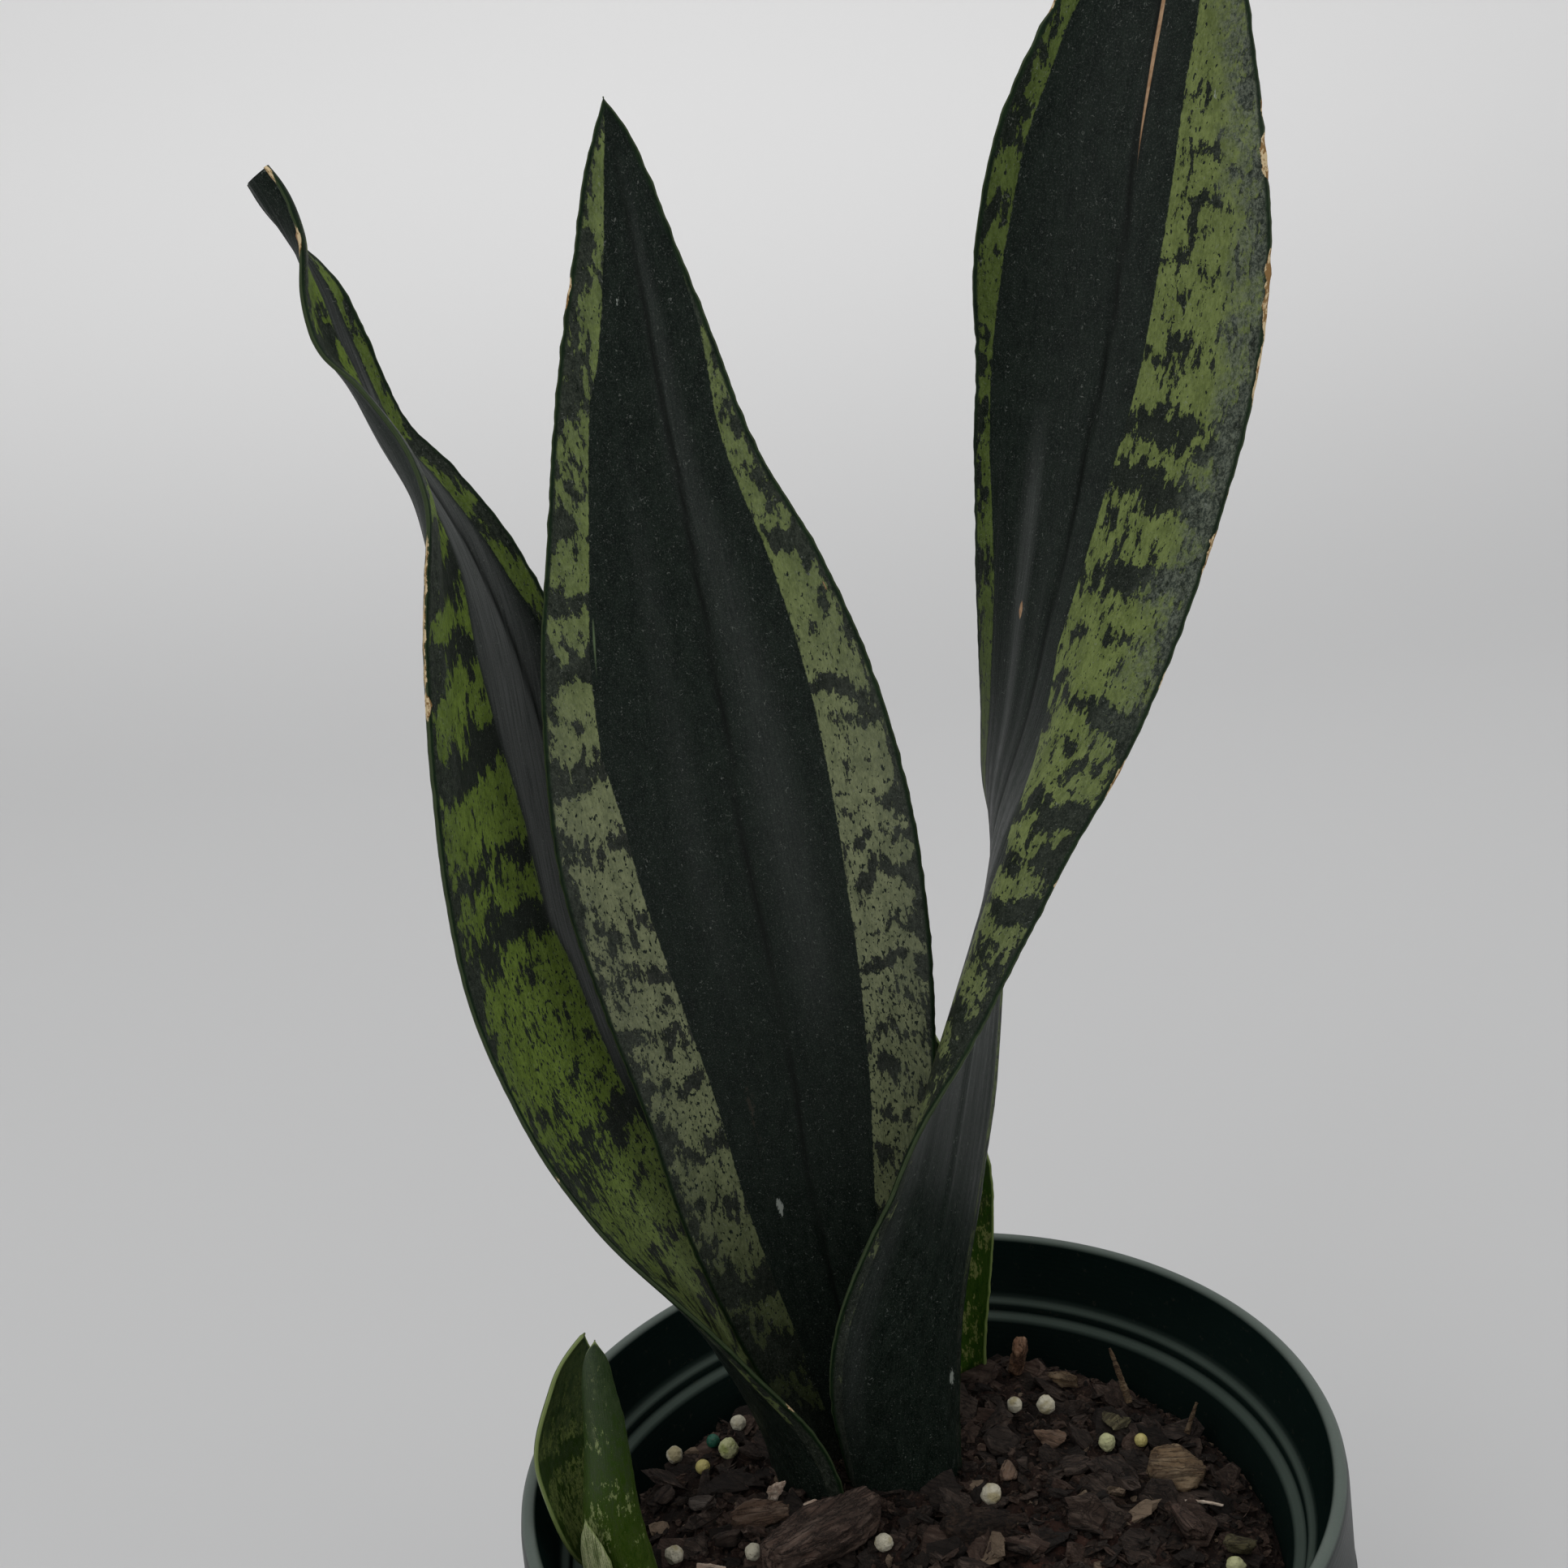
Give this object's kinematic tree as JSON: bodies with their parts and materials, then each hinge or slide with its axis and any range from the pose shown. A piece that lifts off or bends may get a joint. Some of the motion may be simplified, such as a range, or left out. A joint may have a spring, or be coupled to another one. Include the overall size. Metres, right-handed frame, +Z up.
{
  "type": "potted snake plant",
  "caption": "Variegated snake plant with tall twisted blade leaves and young shoots, growing from a rhizome in a round nursery pot of bark and perlite mix.",
  "frame": {"origin": "centre of the pot's flat base, where it rests", "axes": "+Z up along the pot's axis; -Y towards the viewer, where the centre leaf's upper face looks; +X to the viewer's right"},
  "size_m": [0.1808, 0.168, 0.429],
  "materials": {
    "pot_plastic": "dark green, satin",
    "soil": "loose bark and peat, matte",
    "rhizome": "fleshy orange brown stem and roots, matte",
    "leaf": "dark green with mottled lighter margins, satin",
    "young_leaf": "fresh green with cream mottling, satin",
    "sheath": "pale dry sheath, matte",
    "bark": "weathered bark, matte",
    "husk": "dry papery scales, matte",
    "peat": "fibrous crumb, matte",
    "perlite": "white porous grain, matte",
    "prill_yellow": "coated grain, satin",
    "prill_teal": "coated grain, satin",
    "wood": "bare splinter, matte"
  },
  "bodies": {
    "root": {"back_shoot_leaf": "young_leaf", "bark_chip_back": "bark", "bark_chip_broad": "bark", "bark_chip_flat": "bark", "bark_chip_front": "bark", "bark_chip_left": "bark", "bark_chip_long": "bark", "bark_chip_middle": "bark", "bark_chip_near_leaf": "bark", "bark_chip_olive": "bark", "bark_chip_ridged": "bark", "bark_chip_round": "bark", "bark_chip_rounded": "bark", "bark_chip_small": "bark", "dried_scale_leaf": "husk", "fertiliser_prill_1": "prill_yellow", "fertiliser_prill_2": "prill_yellow", "fertiliser_prill_teal": "prill_teal", "front_shoot_outer_leaf": "young_leaf", "front_shoot_sheath": "sheath", "front_shoot_spear": "young_leaf", "husk_cup": "husk", "leaf_centre": "leaf", "leaf_left": "leaf", "leaf_right": "leaf", "nursery_pot": "pot_plastic", "papery_flake": "husk", "peat_clump": "peat", "perlite_1": "perlite", "perlite_10": "perlite", "perlite_11": "perlite", "perlite_2": "perlite", "perlite_3": "perlite", "perlite_4": "perlite", "perlite_5": "perlite", "perlite_6": "perlite", "perlite_7": "perlite", "perlite_8": "perlite", "perlite_9": "perlite", "potting_soil": "soil", "rhizome_with_roots": "rhizome", "wood_splinter_left": "wood", "wood_splinter_right": "wood", "wood_stick_flat": "wood", "wood_stick_short": "wood"}
  },
  "joints": []
}
